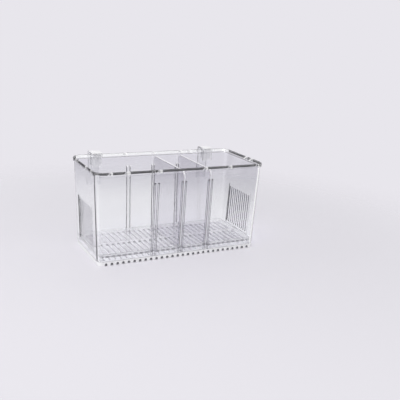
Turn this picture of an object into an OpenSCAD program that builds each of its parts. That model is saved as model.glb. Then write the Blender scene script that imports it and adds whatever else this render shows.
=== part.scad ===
// Breeding box for aquarium fish, moulded in clear plastic.
// A tank with a slotted floor and slotted end walls holds a lift-out grate
// and two lift-out dividers. Two hooks hang it on the wall of an aquarium.
// The origin is the centre of the underside. X runs along the length,
// +Y points to the back, where the hooks are, and +Z is up. Millimetres.

/* [Tank] */
// Length over the rim
length = 200; // [170:1:240]
// Depth over the rim, front to back
depth = 92; // [76:1:120]
// Height from the underside to the top of the rim
height = 102; // [85:1:130]
// Wall thickness
wall = 2; // [1.6:0.1:3]
// How far each wall leans inwards from its top to its foot
lean = 4; // [2:0.1:5]
// Outside radius of the corners just under the rim
corner_r = 10; // [8.5:0.5:14]
// How far the rim stands out from the walls
rim_out = 1; // [0.6:0.1:3]
// Height of the rim
rim_h = 4.5; // [3:0.5:8]
// Radius along the edges of the rim
rim_edge_r = 1.1; // [0.4:0.1:1.1]

/* [Floor] */
// Height of the foot that carries the floor
foot_h = 2; // [1.5:0.1:4]
// Thickness of the floor
floor_t = 2; // [1.5:0.1:3]
// Distance from slot to slot, in the floor and in the grate
slot_pitch = 6.4; // [5.5:0.1:8]
// Width of the slots in the floor, too narrow for a young fish
floor_slot_w = 1.2; // [0.8:0.1:2]
// Width of the arches along the foot
arch_w = 2.8; // [2:0.1:4]
// Height of the arches along the foot
arch_h = 3; // [2:0.1:3.2]
// Width of the solid strip along the middle of the floor and the grate
spine_w = 6; // [4:0.5:12]
// Solid margin between the slots and the walls
slot_margin = 4; // [2:0.5:8]

/* [End grilles] */
// Width of the grille in each end wall
grille_w = 46; // [30:1:52]
// Height of the grille's lower edge above the underside
grille_foot = 14; // [10:1:25]
// Height of the grille's upper edge above the underside
grille_top = 59; // [45:1:75]
// Distance from slot to slot in the grille
grille_pitch = 4.4; // [3.6:0.1:6]
// Width of the slots in the grille
grille_slot_w = 1.6; // [1:0.1:2.2]
// Depth of the shallow panel that the grille's slots are cut in
panel_depth = 0.8; // [0.4:0.1:1]
// Border of the panel round the slots
panel_border = 2.5; // [1.5:0.1:4]

/* [Guides] */
// Number of slot pitches from one pair of guide ribs to the next
guide_pitches = 5; // [4:1:6]
// How far a guide rib stands out from the wall
guide_d = 2.2; // [1.5:0.1:3]
// Width of a guide rib
guide_w = 1.6; // [1.2:0.1:2.5]
// Depth below the rim's top at which the guide ribs start
guide_drop = 14; // [8:1:25]

/* [Dividers] */
// Thickness of a divider
divider_t = 2; // [1.5:0.1:3]
// Clearance on each face of a divider between its guide ribs
divider_play = 0.3; // [0.2:0.05:0.6]
// Clearance between a divider's side edges and the walls
divider_side_gap = 0.4; // [0.3:0.05:0.8]
// Depth below the rim's top of a divider's upper edge
divider_drop = 4; // [2:0.5:12]
// Radius of a divider's upper corners
divider_corner_r = 7; // [3:0.5:12]

/* [Grate] */
// Thickness of the grate's plate
grate_t = 1.8; // [1.4:0.1:3]
// Height of the room under the grate's plate
grate_room = 4; // [2:0.5:8]
// Width of the slots in the grate, wide enough for a young fish
grate_slot_w = 2.6; // [2:0.1:3.4]
// Height of the grate's raised edge above its plate
grate_edge_h = 2; // [1:0.5:8]
// Thickness of the grate's raised edge
grate_edge_t = 1.4; // [1:0.1:2.5]
// Clearance between the grate and the walls
grate_gap = 0.8; // [0.5:0.1:1]
// Radius of the grate's feet
grate_foot_r = 1.6; // [1.2:0.1:2]

/* [Hooks] */
// Distance from the end of the tank to the middle of each hook
hook_end = 29; // [24:1:60]
// Width of a hook
hook_w = 12; // [8:0.5:20]
// Thickness of a hook
hook_t = 1.8; // [1.4:0.1:2]
// Length of the tab inside the tank, below the rim's top
hook_tab = 14; // [8:0.5:20]
// Length of the hook's middle leg, below the rim's top
hook_mid = 12; // [8:0.5:20]
// Length of the outer leg, below the rim's top
hook_leg = 38; // [25:1:60]
// Widest aquarium wall that the hook takes
glass_t = 6; // [4:0.5:12]
// Height of the round pip that grips the aquarium wall
pip_h = 0.6; // [0.3:0.1:1]
// Radius of the pip
pip_r = 2.5; // [1.5:0.1:4]
// Radius of the hook's upper edges
hook_edge_r = 1.6; // [0.6:0.1:1.7]

/* [Clearances] */
// Gap between a loose piece and the surface that it rests on
seat = 0.3; // [0.1:0.05:0.4]
// Gap between a hook and the faces of the tank beside it
hook_gap = 0.3; // [0.2:0.05:0.6]

/* [Hidden] */
$fn = 48;
arc_steps = 6;
over = 1;
clear_tint = [0.89, 0.89, 0.93, 0.45];
grate_tint = [0.86, 0.87, 0.92, 0.6];
hook_tint = [0.93, 0.93, 0.96, 0.7];

// Corner centres, the same at every height, so the corners are true cones
corner_x = length / 2 - rim_out - corner_r;
corner_y = depth / 2 - rim_out - corner_r;

// Distance of the walls' faces from the corner centres at height z
function outer_r(z) = corner_r - lean * (1 - z / height);
function inner_r(z) = outer_r(z) - wall;

// Sizes of flat outlines are kept to a hundredth of a millimetre
function hundredth(v) = round(100 * v) / 100;

floor_top = foot_h + floor_t;
grate_under = floor_top + seat + grate_room;
grate_top = grate_under + grate_t;
divider_foot = grate_top + seat;
divider_step = grate_top + grate_edge_h + seat;
divider_top = height - divider_drop;
guide_top = height - guide_drop;

// Slots along the straight part of the floor, an even number
half_slots = floor(corner_x / slot_pitch + 0.5);
slot_xs = [for (i = [-half_slots:half_slots - 1]) (i + 0.5) * slot_pitch];
guide_step = guide_pitches * slot_pitch;
guide_gap = divider_t + 2 * divider_play;
guide_xs = [-guide_step, 0, guide_step];

grille_slots = floor((grille_w - grille_slot_w) / grille_pitch) + 1;
grille_ys = [
  for (i = [0:grille_slots - 1]) (i - (grille_slots - 1) / 2) * grille_pitch
];

// Radius of the grate's outline about the corner centres
grate_r = hundredth(inner_r(floor_top) - grate_gap);
// Notches in the grate for the guide ribs
notch_w = guide_gap + 2 * guide_w + 2 * grate_gap;
notch_y = hundredth(corner_y + inner_r(floor_top) - guide_d - grate_gap);

hook_x = length / 2 - hook_end;
// Faces of a hook, counted along Y
tab_back = corner_y + inner_r(height - hook_tab) - hook_gap;
tab_front = tab_back - hook_t;
mid_front = depth / 2 + hook_gap;
mid_back = mid_front + hook_t;
leg_front = mid_back + glass_t + pip_h;
leg_back = leg_front + hook_t;
hook_under = height + seat;
hook_top = hook_under + hook_t;

// Points of an arc, for rounding a profile's corners
function arc(cx, cy, r, a0, a1) = [
  for (i = [0:arc_steps])
    let (a = a0 + (a1 - a0) * i / arc_steps)
    [cx + r * cos(a), cy + r * sin(a)]
];

// Copies in the four corners, each turned to its own quarter
module each_corner() {
  for (k = [0:3]) {
    sx = (k == 0 || k == 3) ? 1 : -1;
    sy = (k < 2) ? 1 : -1;
    translate([sx * corner_x, sy * corner_y, 0]) rotate(90 * k) children();
  }
}

// Outline with round corners, r beyond the corner centres
module round_plate(r) {
  square([2 * corner_x, 2 * (corner_y + r)], center = true);
  square([2 * (corner_x + r), 2 * corner_y], center = true);
  for (x = [-corner_x, corner_x]) {
    for (y = [-corner_y, corner_y]) {
      translate([x, y]) circle(r);
    }
  }
}

// Section through a wall, with the rim at its top
module wall_profile() {
  lip_foot = height - rim_h;
  lip_out = corner_r + rim_out;
  e = rim_edge_r;
  polygon(concat(
    [
      [inner_r(0), 0],
      [outer_r(0), 0],
      [outer_r(lip_foot), lip_foot]
    ],
    arc(lip_out - e, lip_foot + e, e, -90, 0),
    arc(lip_out - e, height - e, e, 0, 90),
    arc(inner_r(height) + e, height - e, e, 90, 180)
  ));
}

// Straight wall that faces +X, span to each side of the middle
module straight_wall(reach, span) {
  translate([reach, span, 0]) rotate([90, 0, 0]) {
    linear_extrude(2 * span) wall_profile();
  }
}

module walls() {
  each_corner() rotate_extrude(angle = 90) wall_profile();
  for (a = [0, 180]) {
    rotate(a) straight_wall(corner_x, corner_y);
    rotate(a + 90) straight_wall(corner_y, corner_x);
  }
}

// Slot with round ends from y0 to y1
module long_slot(w, y0, y1) {
  translate([0, (y0 + y1) / 2]) square([w, y1 - y0 - w], center = true);
  translate([0, y0 + w / 2]) circle(w / 2, $fn = 24);
  translate([0, y1 - w / 2]) circle(w / 2, $fn = 24);
}

// Two rows of slots, on both sides of the spine
module slot_rows(w, reach) {
  for (x = slot_xs) {
    translate([x, 0]) {
      long_slot(w, spine_w / 2, reach);
      long_slot(w, -reach, -spine_w / 2);
    }
  }
}

module slotted_floor() {
  reach = hundredth(corner_y + inner_r(floor_top) - slot_margin);
  translate([0, 0, foot_h]) linear_extrude(floor_t) difference() {
    round_plate(hundredth(inner_r(floor_top) + wall / 2));
    slot_rows(floor_slot_w, reach);
  }
  translate([-corner_x, -spine_w / 2, 0]) {
    cube([2 * corner_x, spine_w, foot_h + floor_t / 2]);
  }
}

// Arches along the front and back foot, and the channels between them
module arches() {
  run = depth + 2 * over;
  translate([0, run / 2, 0]) rotate([90, 0, 0]) linear_extrude(run) {
    for (x = slot_xs) {
      translate([x, arch_h - arch_w / 2]) circle(arch_w / 2);
      translate([x - arch_w / 2, -over]) {
        square([arch_w, arch_h - arch_w / 2 + over]);
      }
    }
  }
}

// Slots of both end grilles, cut along X
module grille_slots() {
  run = length + 2 * over;
  translate([-run / 2, 0, 0]) rotate([90, 0, 90]) linear_extrude(run) {
    for (y = grille_ys) {
      translate([y, 0]) long_slot(grille_slot_w, grille_foot, grille_top);
    }
  }
}

// Shallow panel in the outer face of the end wall that faces +X
module grille_panel() {
  low = grille_foot - panel_border;
  high = grille_top + panel_border;
  span = grille_w + 2 * panel_border;
  translate([corner_x, span / 2, 0]) rotate([90, 0, 0]) linear_extrude(span) {
    polygon([
      [outer_r(low) - panel_depth, low],
      [outer_r(low) + over, low],
      [outer_r(high) + over, high],
      [outer_r(high) - panel_depth, high]
    ]);
  }
}

// Guide rib on the wall that faces +Y, with a slanted top to lead in
module guide_rib(x) {
  translate([x - guide_w / 2, corner_y, 0]) rotate([90, 0, 90]) {
    linear_extrude(guide_w) polygon([
      [inner_r(floor_top) + wall / 2, foot_h + floor_t / 2],
      [inner_r(guide_top) + wall / 2, guide_top],
      [inner_r(guide_top), guide_top],
      [inner_r(guide_top) - guide_d, guide_top - guide_d],
      [inner_r(floor_top) - guide_d, foot_h + floor_t / 2]
    ]);
  }
}

module guides() {
  for (side = [0, 1]) {
    mirror([0, side, 0]) {
      for (x = guide_xs) {
        guide_rib(x - (guide_gap + guide_w) / 2);
        guide_rib(x + (guide_gap + guide_w) / 2);
      }
    }
  }
}

module tank() color(clear_tint) difference() {
  union() {
    walls();
    slotted_floor();
    guides();
  }
  arches();
  grille_slots();
  grille_panel();
  rotate(180) grille_panel();
}

// Notches that let the grate pass the guide ribs
module grate_notches() {
  deep = depth / 2 - notch_y;
  for (x = guide_xs) {
    for (y = [notch_y, -notch_y - deep]) {
      translate([x - notch_w / 2, y]) square([notch_w, deep]);
    }
  }
}

// Hollow inside the grate's raised edge, which turns in round each notch
module grate_hollow() {
  deep = depth / 2 - notch_y;
  inset = grate_edge_t;
  difference() {
    round_plate(grate_r - inset);
    for (x = guide_xs) {
      for (y = [notch_y - inset, -notch_y - deep]) {
        translate([x - notch_w / 2 - inset, y]) {
          square([notch_w + 2 * inset, deep + inset]);
        }
      }
    }
  }
}

module grate() color(grate_tint) {
  foot_x = corner_x + grate_r - grate_foot_r - grate_edge_t / 2;
  foot_z = floor_top + seat;
  translate([0, 0, grate_under]) difference() {
    linear_extrude(grate_t + grate_edge_h) difference() {
      round_plate(grate_r);
      grate_notches();
    }
    translate([0, 0, grate_t]) linear_extrude(grate_edge_h + over) {
      grate_hollow();
    }
    translate([0, 0, -over]) linear_extrude(grate_t + 2 * over) {
      slot_rows(grate_slot_w, notch_y - 2 * grate_edge_t);
    }
  }
  for (x = [-foot_x, foot_x]) {
    for (y = [-corner_y, 0, corner_y]) {
      translate([x, y, foot_z]) {
        cylinder(h = grate_room + grate_t / 2, r = grate_foot_r);
      }
    }
  }
}

// Flat panel between two guides, as wide as the tank at each height. Its
// lower corners are cut out to pass the grate's raised edge.
module divider(x) {
  r = divider_corner_r;
  foot = notch_y - grate_edge_t - divider_side_gap;
  low = corner_y + inner_r(divider_step) - divider_side_gap;
  high = corner_y + inner_r(divider_top) - divider_side_gap;
  tilt = atan2(high - low, divider_top - divider_step);
  // Corner centre that keeps the arc on both the top and the leaning side
  drop = divider_top - r;
  side = low + (drop - divider_step) * tan(tilt) - r / cos(tilt);
  round_top = arc(side, drop, r, -tilt, 90);
  mirrored = [
    for (i = [len(round_top) - 1:-1:0]) [-round_top[i][0], round_top[i][1]]
  ];
  translate([x - divider_t / 2, 0, 0]) rotate([90, 0, 90]) {
    linear_extrude(divider_t) polygon(concat(
      [[-low, divider_step], [-foot, divider_step], [-foot, divider_foot]],
      [[foot, divider_foot], [foot, divider_step], [low, divider_step]],
      round_top,
      mirrored
    ));
  }
}

module middle_divider() color(clear_tint) divider(0);

module right_divider() color(clear_tint) divider(guide_step);

// Section through a hook: tab, bridge, middle leg and outer leg
module hook_profile() {
  e = hook_edge_r;
  polygon(concat(
    [[tab_front, height - hook_tab]],
    [[tab_back, height - hook_tab]],
    [[tab_back, hook_under], [mid_front, hook_under]],
    [[mid_front, height - hook_mid], [mid_back, height - hook_mid]],
    [[mid_back, hook_under], [leg_front, hook_under]],
    [[leg_front, height - hook_leg], [leg_back, height - hook_leg]],
    arc(leg_back - e, hook_top - e, e, 0, 90),
    arc(tab_front + e, hook_top - e, e, 90, 180)
  ));
}

module hook(x) {
  translate([x - hook_w / 2, 0, 0]) rotate([90, 0, 90]) {
    linear_extrude(hook_w) hook_profile();
  }
  // Pip on the inner face of the outer leg, above its end
  translate([x, leg_front + hook_t / 2, height - hook_leg + 3 * pip_r]) {
    rotate([90, 0, 0]) cylinder(h = pip_h + hook_t / 2, r = pip_r);
  }
}

module left_hook() color(hook_tint) hook(-hook_x);

module right_hook() color(hook_tint) hook(hook_x);

tank();
grate();
middle_divider();
right_divider();
left_hook();
right_hook();
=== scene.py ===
"""Fish breeding box in clear moulded polystyrene, on a pale studio floor.

Lengths are in millimetres, which MM turns to metres. Lamps and the camera are placed in metres.
The origin is the centre of the tank's underside, X runs along its length, +Y to the back and +Z up.
"""
import math

import bpy
import numpy as np
from mathutils import Matrix, Vector


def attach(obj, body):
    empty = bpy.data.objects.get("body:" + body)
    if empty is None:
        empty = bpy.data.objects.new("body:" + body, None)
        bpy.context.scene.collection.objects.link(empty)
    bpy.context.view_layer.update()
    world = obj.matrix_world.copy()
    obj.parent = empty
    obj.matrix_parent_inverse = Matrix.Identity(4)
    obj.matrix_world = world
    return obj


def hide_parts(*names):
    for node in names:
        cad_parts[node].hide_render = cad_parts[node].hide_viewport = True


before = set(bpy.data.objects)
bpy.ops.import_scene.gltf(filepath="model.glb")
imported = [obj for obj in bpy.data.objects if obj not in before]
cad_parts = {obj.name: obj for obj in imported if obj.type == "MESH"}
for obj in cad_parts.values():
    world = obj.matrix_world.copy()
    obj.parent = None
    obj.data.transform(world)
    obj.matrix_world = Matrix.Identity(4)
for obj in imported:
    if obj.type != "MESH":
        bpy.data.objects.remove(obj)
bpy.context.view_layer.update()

MM = 0.001

# Tank
LENGTH, DEPTH, HEIGHT = 200.0, 92.0, 102.0
WALL, LEAN = 2.0, 4.0
CORNER_R = 10.0
RIM_OUT, RIM_H, RIM_EDGE_R, RIM_UNDER_R = 1.0, 4.5, 0.8, 0.7
# Slope that leads into the rim's top on the inside: its height, its width and the round at its top
LEAD_IN_H, LEAD_IN_W, LEAD_IN_R = 3.0, 2.15, 0.25
FLOOR_FILLET, RIM_FILLET, FOOT_EDGE_R = 0.7, 0.4, 0.35
FOOT_H, FLOOR_T = 2.0, 2.0
FLOOR_TOP = FOOT_H + FLOOR_T
CORNER_X = LENGTH / 2 - RIM_OUT - CORNER_R
CORNER_Y = DEPTH / 2 - RIM_OUT - CORNER_R
# Height at which one piece stands over the next
SEAT = 0.3


def outer_r(z):
    """Distance of a wall's outer face from the corner centres at height z."""
    return CORNER_R - LEAN * (1 - z / HEIGHT)


def inner_r(z):
    """Distance of a wall's inner face from the corner centres at height z."""
    return outer_r(z) - WALL


# Slots and arches
PITCH = 6.4
SLOT_XS = (np.arange(28) - 13.5) * PITCH
FLOOR_SLOT_W, ARCH_W, ARCH_H, SPINE_W, SLOT_MARGIN = 1.2, 2.8, 3.0, 6.0, 4.0
# End grilles
GRILLE_W, GRILLE_FOOT, GRILLE_TOP = 46.0, 14.0, 59.0
GRILLE_YS = (np.arange(11) - 5) * 4.4
GRILLE_SLOT_W, PANEL_DEPTH, PANEL_BORDER = 1.6, 0.8, 2.5
# Guides
GUIDE_XS = np.array([-5, 0, 5]) * PITCH
GUIDE_D, GUIDE_W, GUIDE_NOSE_R = 2.2, 1.6, 0.6
DIVIDER_T, DIVIDER_PLAY = 2.0, 0.3
GUIDE_GAP = DIVIDER_T + 2 * DIVIDER_PLAY
GUIDE_TOP = HEIGHT - 14.0
# Grate
GRATE_GAP, GRATE_EDGE_T, GRATE_EDGE_H, GRATE_SLOT_W = 0.8, 1.4, 2.0, 2.6
GRATE_ROOM, GRATE_T = 4.0, 1.8
GRATE_FOOT_R, GRATE_FOOT_LOW = 1.6, FLOOR_TOP + SEAT
GRATE_UNDER = GRATE_FOOT_LOW + GRATE_ROOM
GRATE_TOP = GRATE_UNDER + GRATE_T
GRATE_EDGE_TOP = GRATE_TOP + GRATE_EDGE_H
GRATE_R = inner_r(FLOOR_TOP) - GRATE_GAP
NOTCH_W = GUIDE_GAP + 2 * GUIDE_W + 2 * GRATE_GAP
NOTCH_Y = CORNER_Y + inner_r(FLOOR_TOP) - GUIDE_D - GRATE_GAP
# Dividers
DIVIDER_FOOT, DIVIDER_STEP, DIVIDER_TOP = GRATE_TOP + SEAT, GRATE_EDGE_TOP + SEAT, HEIGHT - 4.0
SIDE_GAP, DIVIDER_CORNER_R = 0.4, 7.0
# Hooks
HOOK_X, HOOK_W, HOOK_T, HOOK_GAP = LENGTH / 2 - 29.0, 12.0, 1.8, 0.3
HOOK_TAB, HOOK_MID, HOOK_LEG = 14.0, 12.0, 38.0
HOOK_UNDER, HOOK_EDGE_R = HEIGHT + SEAT, 1.6
GLASS_T, PIP_H, PIP_R = 6.0, 0.6, 2.5
PIP_Z = HEIGHT - HOOK_LEG + 3 * PIP_R
# Round along the free edges of dividers and hooks
FREE_EDGE_R = 0.4


def arc(cx, cy, r, start, end, steps=8):
    """Points (cx + r cos a, cy + r sin a) for angles from start to end, in degrees."""
    a = np.radians(np.linspace(start, end, steps + 1))
    return np.stack([cx + r * np.cos(a), cy + r * np.sin(a)], axis=1)


def circle(cx, cy, r, count):
    """Count points round a whole circle."""
    return arc(cx, cy, r, 0, 360 - 360 / count, count - 1)


# Meshes


def put_mesh(name, points, faces):
    """A linked mesh object with its place in its mesh, from points in millimetres."""
    mesh = bpy.data.meshes.new(name)
    mesh.from_pydata((np.asarray(points) * MM).tolist(), [], faces)
    mesh.validate()
    obj = bpy.data.objects.new(name, mesh)
    bpy.context.scene.collection.objects.link(obj)
    return obj


def lofted(rings):
    """Closed solid through equal rings of points: ring i and ring i + 1 share a band of four-sided
    faces, point j joined to point j + 1, and the first and the last ring are closed flat."""
    rings = np.asarray(rings)
    rows, columns = rings.shape[:2]
    index = np.arange(rows * columns).reshape(rows, columns)
    after = np.roll(index, -1, axis=1)
    bands = np.stack([index[:-1], after[:-1], after[1:], index[1:]], axis=-1).reshape(-1, 4)
    faces = bands.tolist() + [index[0, ::-1].tolist(), index[-1].tolist()]
    return rings.reshape(-1, 3), faces


def several(solids):
    """One list of points and faces from several solids that don't meet."""
    points, faces, start = [], [], 0
    for solid_points, solid_faces in solids:
        points.append(solid_points)
        faces += [[start + i for i in face] for face in solid_faces]
        start += len(solid_points)
    return np.concatenate(points), faces


def prism(outline, low, high, along="z"):
    """Solid with a flat counter-clockwise outline, carried straight from low to high along an
    axis. The outline's axes are (x, y) for z, (y, z) for x, and (z, x) for y."""
    outline = np.asarray(outline, float)
    order = {"z": (0, 1, 2), "x": (2, 0, 1), "y": (1, 2, 0)}[along]
    rings = []
    for level in (low, high):
        flat = np.column_stack([outline, np.full(len(outline), level)])
        rings.append(flat[:, order])
    return lofted(rings)


def combine(base, other, operation):
    """The base after a boolean with the other object, which is used up."""
    step = base.modifiers.new("fit", "BOOLEAN")
    step.object, step.operation, step.solver = other, operation, "MANIFOLD"
    graph = bpy.context.evaluated_depsgraph_get()
    mesh = bpy.data.meshes.new_from_object(base.evaluated_get(graph))
    base.modifiers.clear()
    base.data = mesh
    bpy.data.objects.remove(other)
    return base


def shaded(obj, sharp=32.0):
    """Smooth curves and flat flats: edges over the sharp angle stay sharp, and large faces set the
    normals of the small ones beside them."""
    obj.data.shade_smooth()
    obj.data.set_sharp_from_angle(angle=math.radians(sharp))
    weigh = obj.modifiers.new("flat_faces", "WEIGHTED_NORMAL")
    weigh.keep_sharp = True
    return obj


def rounded(obj, width, segments=3):
    """Round the edges over 35 degrees by a bevel of the given width."""
    bevel = obj.modifiers.new("moulded_edges", "BEVEL")
    bevel.width = width * MM
    bevel.segments = segments
    bevel.limit_method = "ANGLE"
    bevel.angle_limit = math.radians(35)
    bevel.harden_normals = False
    return obj


# Tank


def corner_fan(steps=20):
    """Centres and directions round the tank: each corner centre with the directions
    (cos a, sin a) of its own quarter turn, so that straight walls join the four fans."""
    quarter = np.radians(np.linspace(0, 90, steps + 1))
    turns = np.concatenate([quarter + k * math.pi / 2 for k in range(4)])
    sign = np.array([[1, 1], [-1, 1], [-1, -1], [1, -1]])
    centres = np.repeat(sign * [CORNER_X, CORNER_Y], steps + 1, axis=0)
    return centres, np.stack([np.cos(turns), np.sin(turns)], axis=1)


def round_outline(r, steps=20):
    """Flat outline with round corners, r beyond the corner centres."""
    centres, ways = corner_fan(steps)
    return centres + r * ways


def tank_section():
    """Section (r, z) from the floor's top out and up the inner face, up the lead-in slope and over
    the rolled rim, down the outer face, round the foot and back in under the floor. Its two ends
    lie a little beyond the corner centres, where flat faces close the floor."""
    middle = 2.0
    rim_foot = HEIGHT - RIM_H
    rim_r = CORNER_R + RIM_OUT
    top, under, fillet, edge = RIM_EDGE_R, RIM_UNDER_R, FLOOR_FILLET, FOOT_EDGE_R
    return np.concatenate([
        [[middle, FLOOR_TOP]],
        arc(inner_r(FLOOR_TOP) - fillet, FLOOR_TOP + fillet, fillet, -90, 0, 6),
        [[inner_r(HEIGHT - LEAD_IN_H), HEIGHT - LEAD_IN_H]],
        arc(inner_r(HEIGHT) + LEAD_IN_W, HEIGHT - LEAD_IN_R, LEAD_IN_R, 140, 90, 4),
        arc(rim_r - top, HEIGHT - top, top, 90, 0, 10),
        arc(rim_r - under, rim_foot + under, under, 0, -90, 10),
        arc(outer_r(rim_foot) + RIM_FILLET, rim_foot - RIM_FILLET, RIM_FILLET, 90, 180, 5),
        arc(outer_r(0) - edge, edge, edge, 0, -90, 4),
        arc(inner_r(0) + edge, edge, edge, -90, -180, 4),
        [[inner_r(0), FOOT_H], [middle, FOOT_H]],
    ])


def tank_shell():
    """Walls and floor as one surface: each point of the section carried round the corner fan,
    (x, y) = centre + r * direction."""
    centres, ways = corner_fan()
    section = tank_section()
    flat = centres[None] + section[:, None, :1] * ways[None]
    height = np.broadcast_to(section[:, None, 1:], flat.shape[:2] + (1,))
    points, faces = lofted(np.concatenate([flat, height], axis=2))
    return points, [face[::-1] for face in faces]


def guide_rib(x, side):
    """Rib on the front (side -1) or back wall (side 1): a plan with a round nose, carried up the
    leaning wall, its top falling at 45 degrees from the wall to the nose."""
    half, nose = GUIDE_W / 2, GUIDE_NOSE_R
    plan = np.concatenate([
        [[half, -WALL / 2]],
        arc(half - nose, GUIDE_D - nose, nose, 0, 90, 4),
        arc(nose - half, GUIDE_D - nose, nose, 90, 180, 4),
        [[-half, -WALL / 2]],
    ])
    rings = []
    for top in (False, True):
        drop = np.clip(plan[:, 1], 0, GUIDE_D)
        z = GUIDE_TOP - drop if top else np.full(len(plan), FLOOR_TOP - 1)
        y = CORNER_Y + inner_r(z) - plan[:, 1]
        rings.append(np.column_stack([x + plan[:, 0], side * y, z]))
    points, faces = lofted(rings)
    return points, faces if side < 0 else [face[::-1] for face in faces]


def long_slot(w, low, high, steps=8):
    """Outline of a slot of width w with round ends, from low to high on its second axis."""
    return np.concatenate([
        arc(0, high - w / 2, w / 2, 0, 180, steps), arc(0, low + w / 2, w / 2, 180, 360, steps)
    ])


def slot_rows(w, reach, low, high):
    """Two rows of slots, on both sides of the solid strip along the middle."""
    rows = [(SPINE_W / 2, reach), (-reach, -SPINE_W / 2)]
    return several([
        prism(long_slot(w, *row) + [x, 0], low, high) for x in SLOT_XS for row in rows
    ])


def arch_cutters():
    """Channels with round tops from front to back, which leave the arches along the foot."""
    r = ARCH_W / 2
    run = DEPTH / 2 + 1
    outline = np.concatenate([arc(0, ARCH_H - r, r, 0, 180, 12), [[-r, -1], [r, -1]]])
    return several([prism((outline + [x, 0])[:, ::-1][::-1], -run, run, "y") for x in SLOT_XS])


def grille_cutters():
    """Slots of both end grilles, carried along the tank's length."""
    run = LENGTH / 2 + 1
    outline = long_slot(GRILLE_SLOT_W, GRILLE_FOOT, GRILLE_TOP)
    return several([prism(outline + [y, 0], -run, run, "x") for y in GRILLE_YS])


def panel_cutters():
    """Shallow panels in the outer faces of the end walls, parallel to the leaning faces."""
    low, high = GRILLE_FOOT - PANEL_BORDER, GRILLE_TOP + PANEL_BORDER
    half = GRILLE_W / 2 + PANEL_BORDER
    near = [CORNER_X + outer_r(z) - PANEL_DEPTH for z in (low, high)]
    far = CORNER_X + outer_r(high) + 1
    section = np.array([[near[0], low], [far, low], [far, high], [near[1], high]])
    right = prism(section[:, ::-1][::-1], -half, half, "y")
    left = (right[0] * [-1, 1, 1], [face[::-1] for face in right[1]])
    return several([right, left])


def build_tank():
    tank = put_mesh("tank_moulding", *tank_shell())
    ribs = [
        guide_rib(x + s * (GUIDE_GAP + GUIDE_W) / 2, side)
        for x in GUIDE_XS for s in (-1, 1) for side in (-1, 1)
    ]
    tank = combine(tank, put_mesh("ribs", *several(ribs)), "UNION")
    half = SPINE_W / 2
    strip = np.array([[-CORNER_X, -half], [CORNER_X, -half], [CORNER_X, half], [-CORNER_X, half]])
    tank = combine(tank, put_mesh("spine", *prism(strip, 0, FOOT_H + FLOOR_T / 2)), "UNION")
    tank = combine(tank, put_mesh("arches", *arch_cutters()), "DIFFERENCE")
    reach = CORNER_Y + inner_r(FLOOR_TOP) - SLOT_MARGIN
    slots = slot_rows(FLOOR_SLOT_W, reach, FOOT_H - 1, FLOOR_TOP + 1)
    tank = combine(tank, put_mesh("slots", *slots), "DIFFERENCE")
    tank = combine(tank, put_mesh("panels", *panel_cutters()), "DIFFERENCE")
    return combine(tank, put_mesh("grilles", *grille_cutters()), "DIFFERENCE")


# Grate


def notched_outline(r, half_notch, notch_y):
    """Outline with round corners and a square notch at each pair of guides, front and back."""
    corners = round_outline(r, 12).reshape(4, -1, 2)
    edge = CORNER_Y + r
    notch = np.array([[half_notch, edge], [half_notch, notch_y],
                      [-half_notch, notch_y], [-half_notch, edge]])
    back = (notch[None] + np.stack([GUIDE_XS[::-1], 0 * GUIDE_XS], axis=1)[:, None]).reshape(-1, 2)
    return np.concatenate([corners[0], back, corners[1], corners[2], -back, corners[3]])


def build_grate():
    outline = notched_outline(GRATE_R, NOTCH_W / 2, NOTCH_Y)
    grate = put_mesh("grate_moulding", *prism(outline, GRATE_UNDER, GRATE_EDGE_TOP))
    inset = GRATE_EDGE_T
    hollow = notched_outline(GRATE_R - inset, NOTCH_W / 2 + inset, NOTCH_Y - inset)
    grate = combine(
        grate, put_mesh("hollow", *prism(hollow, GRATE_TOP, GRATE_EDGE_TOP + 1)), "DIFFERENCE"
    )
    foot_x = CORNER_X + GRATE_R - GRATE_FOOT_R - GRATE_EDGE_T / 2
    feet = [
        prism(circle(x, y, GRATE_FOOT_R, 24), GRATE_FOOT_LOW, GRATE_UNDER + GRATE_T / 2)
        for x in (-foot_x, foot_x) for y in (-CORNER_Y, 0, CORNER_Y)
    ]
    grate = combine(grate, put_mesh("feet", *several(feet)), "UNION")
    reach = NOTCH_Y - 2 * GRATE_EDGE_T
    slots = slot_rows(GRATE_SLOT_W, reach, GRATE_UNDER - 1, GRATE_TOP + 1)
    return combine(grate, put_mesh("grate_slots", *slots), "DIFFERENCE")


# Dividers


def divider_outline():
    """Outline (y, z): a flat foot, cut-out lower corners that pass the grate's raised edge, sides
    that lean as the walls do, and round upper corners that touch the top and the leaning sides."""
    r = DIVIDER_CORNER_R
    foot = NOTCH_Y - GRATE_EDGE_T - SIDE_GAP
    low = CORNER_Y + inner_r(DIVIDER_STEP) - SIDE_GAP
    high = CORNER_Y + inner_r(DIVIDER_TOP) - SIDE_GAP
    tilt = math.atan2(high - low, DIVIDER_TOP - DIVIDER_STEP)
    drop = DIVIDER_TOP - r
    side = low + (drop - DIVIDER_STEP) * math.tan(tilt) - r / math.cos(tilt)
    half = np.concatenate([
        [[foot, DIVIDER_FOOT], [foot, DIVIDER_STEP], [low, DIVIDER_STEP]],
        arc(side, drop, r, -math.degrees(tilt), 90, 14),
    ])
    return np.concatenate([half, half[::-1] * [-1, 1]])


def build_divider(name, x):
    half = DIVIDER_T / 2
    panel = put_mesh(name, *prism(divider_outline(), x - half, x + half, "x"))
    return rounded(panel, FREE_EDGE_R)


# Hooks


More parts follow.
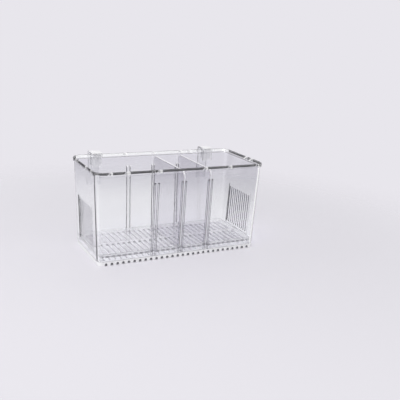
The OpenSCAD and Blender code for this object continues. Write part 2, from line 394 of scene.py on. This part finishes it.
def build_hook(name, x):
    """Section (y, z) of tab, bridge, middle leg and outer leg, carried along the hook's width, with
    a low domed pip on the outer leg's inner face."""
    tab_back = CORNER_Y + inner_r(HEIGHT - HOOK_TAB) - HOOK_GAP
    tab_front = tab_back - HOOK_T
    mid_front = DEPTH / 2 + HOOK_GAP
    mid_back = mid_front + HOOK_T
    leg_front = mid_back + GLASS_T + PIP_H
    leg_back = leg_front + HOOK_T
    top, e = HOOK_UNDER + HOOK_T, HOOK_EDGE_R
    section = np.concatenate([
        [[tab_front, HEIGHT - HOOK_TAB], [tab_back, HEIGHT - HOOK_TAB]],
        [[tab_back, HOOK_UNDER], [mid_front, HOOK_UNDER]],
        [[mid_front, HEIGHT - HOOK_MID], [mid_back, HEIGHT - HOOK_MID]],
        [[mid_back, HOOK_UNDER], [leg_front, HOOK_UNDER]],
        [[leg_front, HEIGHT - HOOK_LEG], [leg_back, HEIGHT - HOOK_LEG]],
        arc(leg_back - e, top - e, e, 0, 90, 8),
        arc(tab_front + e, top - e, e, 90, 180, 8),
    ])
    hook = put_mesh(name, *prism(section, x - HOOK_W / 2, x + HOOK_W / 2, "x"))
    rise = np.radians([-40, 0, 20, 40, 60, 75])
    rings = []
    for r, out in zip(PIP_R * np.cos(rise), PIP_H * np.sin(rise)):
        ring = circle(x, PIP_Z, r, 48)
        rings.append(np.column_stack([ring[:, 0], np.full(len(ring), leg_front - out), ring[:, 1]]))
    hook = combine(hook, put_mesh("pip", *lofted(rings)), "UNION")
    return rounded(hook, FREE_EDGE_R)


tank = shaded(build_tank())
grate = shaded(build_grate())
dividers = [
    shaded(build_divider("middle_divider_panel", 0.0)),
    shaded(build_divider("right_divider_panel", GUIDE_XS[2])),
]
hooks = [
    shaded(build_hook("left_hook_clip", -HOOK_X)),
    shaded(build_hook("right_hook_clip", HOOK_X)),
]

# Materials


def srgb(code, alpha=1.0):
    """Linear colour of an sRGB hex value."""
    levels = [int(code[i:i + 2], 16) / 255 for i in (1, 3, 5)]
    linear = [v / 12.92 if v <= 0.04045 else ((v + 0.055) / 1.055) ** 2.4 for v in levels]
    return (*linear, alpha)


def add(tree, kind, settings=None, stops=(), **inputs):
    """A node of a kind with its settings, and with (position, sRGB hex) stops in rising order if it
    is a colour ramp. Each input is a value, or the output that feeds it. An input goes by its name
    with _ for spaces, or by its place in the list, as in _0 for the first."""
    node = tree.nodes.new(kind)
    for name, value in (settings or {}).items():
        setattr(node, name, value)
    if stops:
        elements = node.color_ramp.elements
        while len(elements) < len(stops):
            elements.new(0.5)
        for element, (position, code) in zip(elements, stops):
            element.position, element.color = position, srgb(code)
    for name, value in inputs.items():
        key = int(name[1:]) if name[0] == "_" else name.replace("_", " ")
        socket = node.inputs[key]
        if isinstance(value, bpy.types.NodeSocket):
            tree.links.new(value, socket)
        else:
            socket.default_value = value
    return node


SMOOTH = {"interpolation_type": "SMOOTHSTEP"}


def tank_clearness(tree, place, facing):
    """Polished walls, a satin floor and foot, and a rim a little duller than the walls, with paler
    stretches where the melt set unevenly."""
    along = add(tree, "ShaderNodeMath", {"operation": "ADD"}, _0=place["X"], _1=place["Y"])
    melt = add(tree, "ShaderNodeTexNoise", {"noise_dimensions": "1D"}, W=along.outputs[0],
               Scale=1 / (6 * MM), Detail=0.0)
    rim = add(tree, "ShaderNodeMapRange", SMOOTH, Value=melt.outputs["Fac"],
              _1=0.66, _2=0.72, _3=0.94, _4=0.25)
    upper = add(tree, "ShaderNodeMapRange", SMOOTH, Value=place["Z"],
                _1=(HEIGHT - LEAD_IN_H - 0.7) * MM, _2=(HEIGHT - LEAD_IN_H - 0.1) * MM,
               _3=1.0, _4=rim.outputs[0])
    return add(tree, "ShaderNodeMapRange", SMOOTH, Value=place["Z"],
               _1=(FLOOR_TOP + 0.3) * MM, _2=(FLOOR_TOP + 1) * MM, _3=0.06, _4=upper.outputs[0])


def grate_clearness(tree, place, facing):
    """Polished broad faces, and duller sides in the slots and round the edge."""
    return add(tree, "ShaderNodeMapRange", SMOOTH, Value=facing["Z"],
               _1=0.5, _2=0.8, _3=0.78, _4=0.96)


def divider_clearness(tree, place, facing):
    """Polished broad faces and satin edges."""
    return add(tree, "ShaderNodeMapRange", SMOOTH, Value=facing["X"],
               _1=0.5, _2=0.9, _3=0.05, _4=0.97)


def hook_clearness(tree, place, facing):
    """Polished sides, slightly dull legs and a satin bridge."""
    upright = add(tree, "ShaderNodeMapRange", SMOOTH, Value=facing["Y"],
                  _1=0.5, _2=0.8, _3=0.97, _4=0.8)
    return add(tree, "ShaderNodeMapRange", SMOOTH, Value=facing["Z"],
               _1=0.5, _2=0.8, _3=upright.outputs[0], _4=0.2)


def painted_shade_on_narrow_faces(tree, place, facing):
    """How much painted shade a narrow face gets. This is a grey painted in place of shade and of
    the dark that the face would mirror. All of it goes on the faces low in the foot that face
    neither front nor back, which are the arches' sides and tops and the undersides of the floor and
    foot. Most of it goes on the sides of the guides and of the grate's bars, which face along the
    tank, and none elsewhere."""
    most = 0.6
    along = add(tree, "ShaderNodeMath", {"operation": "ABSOLUTE"}, _0=place["X"])
    inside = add(tree, "ShaderNodeMapRange", SMOOTH, Value=along.outputs[0],
                 _1=(CORNER_X + 1) * MM, _2=(CORNER_X + 2) * MM, _3=1.0, _4=0.0)
    high = add(tree, "ShaderNodeMapRange", SMOOTH, Value=place["Z"],
               _1=FLOOR_TOP * MM, _2=(FLOOR_TOP + 0.3) * MM, _3=0.0, _4=inside.outputs[0])
    sides = add(tree, "ShaderNodeMapRange", SMOOTH, Value=facing["X"],
                _1=0.5, _2=0.8, _3=0.0, _4=high.outputs[0])
    sides = add(tree, "ShaderNodeMath", {"operation": "MULTIPLY"}, _0=sides.outputs[0], _1=most)
    low = add(tree, "ShaderNodeMapRange", SMOOTH, Value=place["Z"],
              _1=(ARCH_H + 0.1) * MM, _2=(ARCH_H + 0.3) * MM, _3=inside.outputs[0], _4=0.0)
    arches = add(tree, "ShaderNodeMapRange", SMOOTH, Value=facing["Y"],
                 _1=0.4, _2=0.7, _3=low.outputs[0], _4=0.0)
    return add(tree, "ShaderNodeMath", {"operation": "MAXIMUM"},
               _0=sides.outputs[0], _1=arches.outputs[0])


def clear_polystyrene(name, tint, haze, wave, absorb, clearness, painted_shade_tint):
    """Injection-moulded clear polystyrene: glassy, with faint flow waves across the faces and a
    little haze where the melt met the mould. Haze is the least and most roughness, wave is the
    waves' length and height in millimetres, and absorb is the colour and the density per metre of
    the deep plastic. Clearness is the function that says how much light passes where the mould was
    polished and where it was left satin. The last argument is a painted shade: the grey painted
    into the narrow faces' colour in place of the shade and the dark room they would show."""
    material = bpy.data.materials.new(name)
    material.use_nodes = True
    tree = material.node_tree
    tree.nodes.clear()
    where = add(tree, "ShaderNodeTexCoord").outputs
    waves = add(tree, "ShaderNodeTexNoise", Vector=where["Object"],
                Scale=1 / (wave[0] * MM), Detail=2.0)
    speck = add(tree, "ShaderNodeTexNoise", Vector=where["Object"], Scale=1 / (3 * MM), Detail=3.0)
    gloss = add(tree, "ShaderNodeMapRange", Value=speck.outputs["Fac"],
                _1=0.3, _2=0.7, _3=haze[0], _4=haze[1])
    bump = add(tree, "ShaderNodeBump", Height=waves.outputs["Fac"], Strength=1.0,
               Distance=wave[1] * MM)
    place = add(tree, "ShaderNodeSeparateXYZ", Vector=where["Object"]).outputs
    unsigned = add(tree, "ShaderNodeVectorMath", {"operation": "ABSOLUTE"}, _0=where["Normal"])
    facing = add(tree, "ShaderNodeSeparateXYZ", Vector=unsigned.outputs[0]).outputs
    passed = clearness(tree, place, facing).outputs[0]
    # Painted shade: narrow faces get a grey mixed into their base colour, in place of shade and
    # mirrored dark
    narrow = painted_shade_on_narrow_faces(tree, place, facing).outputs[0]
    colour = add(tree, "ShaderNodeMix", {"data_type": "RGBA"}, _0=narrow,
                 _6=srgb(tint), _7=srgb(painted_shade_tint))
    plastic = add(tree, "ShaderNodeBsdfPrincipled", Base_Color=colour.outputs[2], IOR=1.59,
                  Roughness=gloss.outputs[0], Transmission_Weight=passed,
                  Normal=bump.outputs[0])
    # Lamps shine through the clear walls, so their shadow is as light as clear plastic's
    light = add(tree, "ShaderNodeMix", {"data_type": "RGBA"}, _0=passed,
                _6=(0, 0, 0, 1), _7=srgb("#f9f9fb"))
    passes = add(tree, "ShaderNodeBsdfTransparent", Color=light.outputs[2])
    path = add(tree, "ShaderNodeLightPath")
    both = add(tree, "ShaderNodeMixShader", _0=path.outputs["Is Shadow Ray"],
               _1=plastic.outputs[0], _2=passes.outputs[0])
    depth = add(tree, "ShaderNodeVolumeAbsorption", Color=srgb(absorb[0]), Density=absorb[1])
    add(tree, "ShaderNodeOutputMaterial", Surface=both.outputs[0], Volume=depth.outputs[0])
    return material


# Large polished walls: glassy, with long low waves, and a dark grey painted shade in the arches,
# under the floor and on the guides' sides
tank_plastic = clear_polystyrene(
    "clear_polystyrene_moulded_tank", "#fcfcfd", (0.01, 0.04), (18, 0.06), ("#b9b4c8", 3.0),
    tank_clearness, "#403e4a")
# Narrow bars that set fast: short, steep waves that streak what lies below, and a light grey
# painted shade on the bars' sides
grate_plastic = clear_polystyrene(
    "clear_polystyrene_moulded_grate", "#fefefe", (0.02, 0.06), (4, 0.16), ("#a8a4b8", 6.0),
    grate_clearness, "#d6d4dc")
# Flat panels: the calmest faces, with pale satin edges
divider_plastic = clear_polystyrene(
    "clear_polystyrene_moulded_divider", "#faf9fc", (0.01, 0.04), (18, 0.03), ("#b9b4c8", 5.0),
    divider_clearness, "#faf9fc")
# Small thick clips: a little hazy, and milky on the bridge
hook_plastic = clear_polystyrene(
    "clear_polystyrene_moulded_hook", "#fcfcfd", (0.03, 0.08), (8, 0.03), ("#c4c0d0", 5.0),
    hook_clearness, "#fcfcfd")

PIECES = [
    (tank, tank_plastic, "tank", "clear_polystyrene_tank"),
    (grate, grate_plastic, "grate", "clear_polystyrene_grate"),
    (dividers[0], divider_plastic, "middle_divider", "clear_polystyrene_divider"),
    (dividers[1], divider_plastic, "right_divider", "clear_polystyrene_divider"),
    (hooks[0], hook_plastic, "left_hook", "clear_polystyrene_hook"),
    (hooks[1], hook_plastic, "right_hook", "clear_polystyrene_hook"),
]
for piece, material, cad_node, finish in PIECES:
    piece.data.materials.clear()
    piece.data.materials.append(material)
    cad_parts[cad_node].data.materials.clear()
    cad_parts[cad_node].data.materials.append(material)
    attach(piece, cad_node)
    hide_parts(cad_node)

# Studio


BACKGROUND = srgb("#e8e6ec")

world = bpy.data.worlds.new("pale_studio")
bpy.context.scene.world = world
world.use_nodes = True
tree = world.node_tree
tree.nodes.clear()
way = add(tree, "ShaderNodeSeparateXYZ",
          Vector=add(tree, "ShaderNodeTexCoord").outputs["Generated"])
path = add(tree, "ShaderNodeLightPath")
rise = add(tree, "ShaderNodeMapRange", Value=way.outputs["Z"], _1=-1.0, _2=1.0, _3=0.0, _4=1.0)
# What faces and edges mirror: a dim room with a pale floor, a pale backdrop low down all round
# and a soft box overhead
room = add(tree, "ShaderNodeValToRGB", stops=[
    (0.0, "#dcdae2"), (0.2, "#dcdae2"), (0.28, "#82808c"), (0.46, "#82808c"), (0.5, "#e8e6ec"),
    (0.7, "#e8e6ec"), (0.75, "#403e4a"), (0.89, "#403e4a"), (0.93, "#ffffff"),
], Fac=rise.outputs[0])
# with the backdrop reaching the floor at the back
back = add(tree, "ShaderNodeMapRange", SMOOTH, Value=way.outputs["Y"],
           _1=0.0, _2=0.7, _3=0.0, _4=0.8)
low = add(tree, "ShaderNodeMath", {"operation": "LESS_THAN"}, _0=way.outputs["Z"], _1=0.2)
back = add(tree, "ShaderNodeMath", {"operation": "MULTIPLY"},
           _0=back.outputs[0], _1=low.outputs[0])
# the dark side of the room over the floor, which the end walls and dividers mirror
side = add(tree, "ShaderNodeMapRange", SMOOTH, Value=way.outputs["Z"],
           _1=-0.28, _2=-0.215, _3=0.0, _4=1.0)
side = add(tree, "ShaderNodeMapRange", SMOOTH, Value=way.outputs["X"],
           _1=-0.35, _2=-0.1, _3=side.outputs[0], _4=0.0)
# and a tall pale window at each end
sideways = add(tree, "ShaderNodeMath", {"operation": "ABSOLUTE"}, _0=way.outputs["X"])
window = add(tree, "ShaderNodeMapRange", SMOOTH, Value=sideways.outputs[0],
             _1=0.82, _2=0.92, _3=0.0, _4=1.0)
mirrored = add(tree, "ShaderNodeMix", {"data_type": "RGBA"}, _0=back.outputs[0],
               _6=room.outputs[0], _7=BACKGROUND)
mirrored = add(tree, "ShaderNodeMix", {"data_type": "RGBA"}, _0=side.outputs[0],
               _6=mirrored.outputs[2], _7=srgb("#4c4a56"))
mirrored = add(tree, "ShaderNodeMix", {"data_type": "RGBA"}, _0=window.outputs[0],
               _6=mirrored.outputs[2], _7=(1, 1, 1, 1))
# What shows straight through: the backdrop, a little greyer in a band behind the tank's upper
# half, and dim air above it
through = add(tree, "ShaderNodeValToRGB", stops=[
    (0.0, "#f6f6f8"), (0.335, "#f6f6f8"), (0.36, "#cac8d2"), (0.376, "#cac8d2"), (0.39, "#e0dee6"),
    (0.57, "#e0dee6"), (0.63, "#36343e"), (0.89, "#36343e"), (0.93, "#ffffff"),
], Fac=rise.outputs[0])
through = add(tree, "ShaderNodeMix", {"data_type": "RGBA"}, _0=path.outputs["Is Camera Ray"],
              _6=through.outputs[0], _7=BACKGROUND)
bounced = add(tree, "ShaderNodeMath", {"operation": "MINIMUM"},
              _0=path.outputs["Glossy Depth"], _1=1.0)
around = add(tree, "ShaderNodeMix", {"data_type": "RGBA"}, _0=bounced.outputs[0],
             _6=through.outputs[2], _7=mirrored.outputs[2])
# Satin faces inside the box are lit by all of the room
scattered = add(tree, "ShaderNodeMath", {"operation": "MINIMUM"},
                _0=path.outputs["Diffuse Depth"], _1=1.0)
around = add(tree, "ShaderNodeMix", {"data_type": "RGBA"}, _0=scattered.outputs[0],
             _6=around.outputs[2], _7=srgb("#f0eff3"))
seen = add(tree, "ShaderNodeMath", {"operation": "MAXIMUM"},
           _0=path.outputs["Is Camera Ray"], _1=path.outputs["Is Glossy Ray"])
seen = add(tree, "ShaderNodeMath", {"operation": "MAXIMUM"},
           _0=seen.outputs[0], _1=path.outputs["Is Transmission Ray"])
shown = add(tree, "ShaderNodeBackground", Color=around.outputs[2], Strength=1.0)
soft = add(tree, "ShaderNodeBackground", Color=(1, 1, 1, 1), Strength=0.74)
both = add(tree, "ShaderNodeMixShader", _0=seen.outputs[0],
           _1=soft.outputs[0], _2=shown.outputs[0])
add(tree, "ShaderNodeOutputWorld", Surface=both.outputs[0])


def stage_floor(radius=900.0):
    """Flat round floor of pale paper under the foot: points (r cos a, r sin a, 0) in one face. The
    paper gives way to the backdrop with distance, and wherever a face mirrors it."""
    edge = circle(0, 0, radius, 72)
    floor = put_mesh("floor", np.column_stack([edge, 0 * edge[:, 0]]), [list(range(len(edge)))])
    material = bpy.data.materials.new("pale_paper_floor")
    material.use_nodes = True
    tree = material.node_tree
    tree.nodes.clear()
    place = add(tree, "ShaderNodeTexCoord").outputs["Object"]
    far = add(tree, "ShaderNodeVectorMath", {"operation": "LENGTH"}, _0=place).outputs["Value"]
    fade = add(tree, "ShaderNodeMapRange", SMOOTH, Value=far,
               _1=160 * MM, _2=500 * MM, _3=0.0, _4=1.0).outputs[0]
    path = add(tree, "ShaderNodeLightPath").outputs
    fade = add(tree, "ShaderNodeMath", {"operation": "MAXIMUM", "use_clamp": True},
               _0=fade, _1=path["Glossy Depth"]).outputs[0]
    white = add(tree, "ShaderNodeMix", {"data_type": "RGBA"}, _0=path["Is Transmission Ray"],
                _6=srgb("#dcdae0"), _7=srgb("#f8f8fa"))
    paper = add(tree, "ShaderNodeBsdfDiffuse", Color=white.outputs[2])
    clear = add(tree, "ShaderNodeBsdfTransparent", Color=(1, 1, 1, 1))
    both = add(tree, "ShaderNodeMixShader", _0=fade, _1=paper.outputs[0], _2=clear.outputs[0])
    add(tree, "ShaderNodeOutputMaterial", Surface=both.outputs[0])
    floor.data.materials.append(material)
    return floor


stage_floor()


def soft_lamp(name, place, size, watts):
    """Square soft box that faces the tank's middle."""
    data = bpy.data.lights.new(name, "AREA")
    data.shape, data.size, data.energy = "SQUARE", size, watts
    lamp = bpy.data.objects.new(name, data)
    bpy.context.scene.collection.objects.link(lamp)
    lamp.location = place
    aim = Vector((0, 0, 0.05)) - Vector(place)
    lamp.rotation_mode = "QUATERNION"
    lamp.rotation_quaternion = aim.to_track_quat("-Z", "Y")
    return lamp


soft_lamp("key_soft_box", (-0.7, -0.5, 1.3), 0.8, 10.5)

# Camera at the photograph's viewing angle, fitted to the tank's corners, rim and foot in it

data = bpy.data.cameras.new("camera")
data.sensor_width = 36.0
data.lens = 54.573
data.clip_start, data.clip_end = 0.01, 20.0
camera = bpy.data.objects.new("camera", data)
bpy.context.scene.collection.objects.link(camera)
ahead = Vector((0.44962, 0.85067, -0.2724)).normalized()
side = ahead.cross(Vector((0.07776, 0.26653, 0.96069))).normalized()
above = side.cross(ahead)
turn = Matrix((side, above, -ahead)).transposed()
camera.matrix_world = Matrix.Translation((-0.28045, -0.61128, 0.24647)) @ turn.to_4x4()
bpy.context.scene.camera = camera

bpy.context.scene.view_settings.view_transform = "Standard"

bpy.context.view_layer.update()
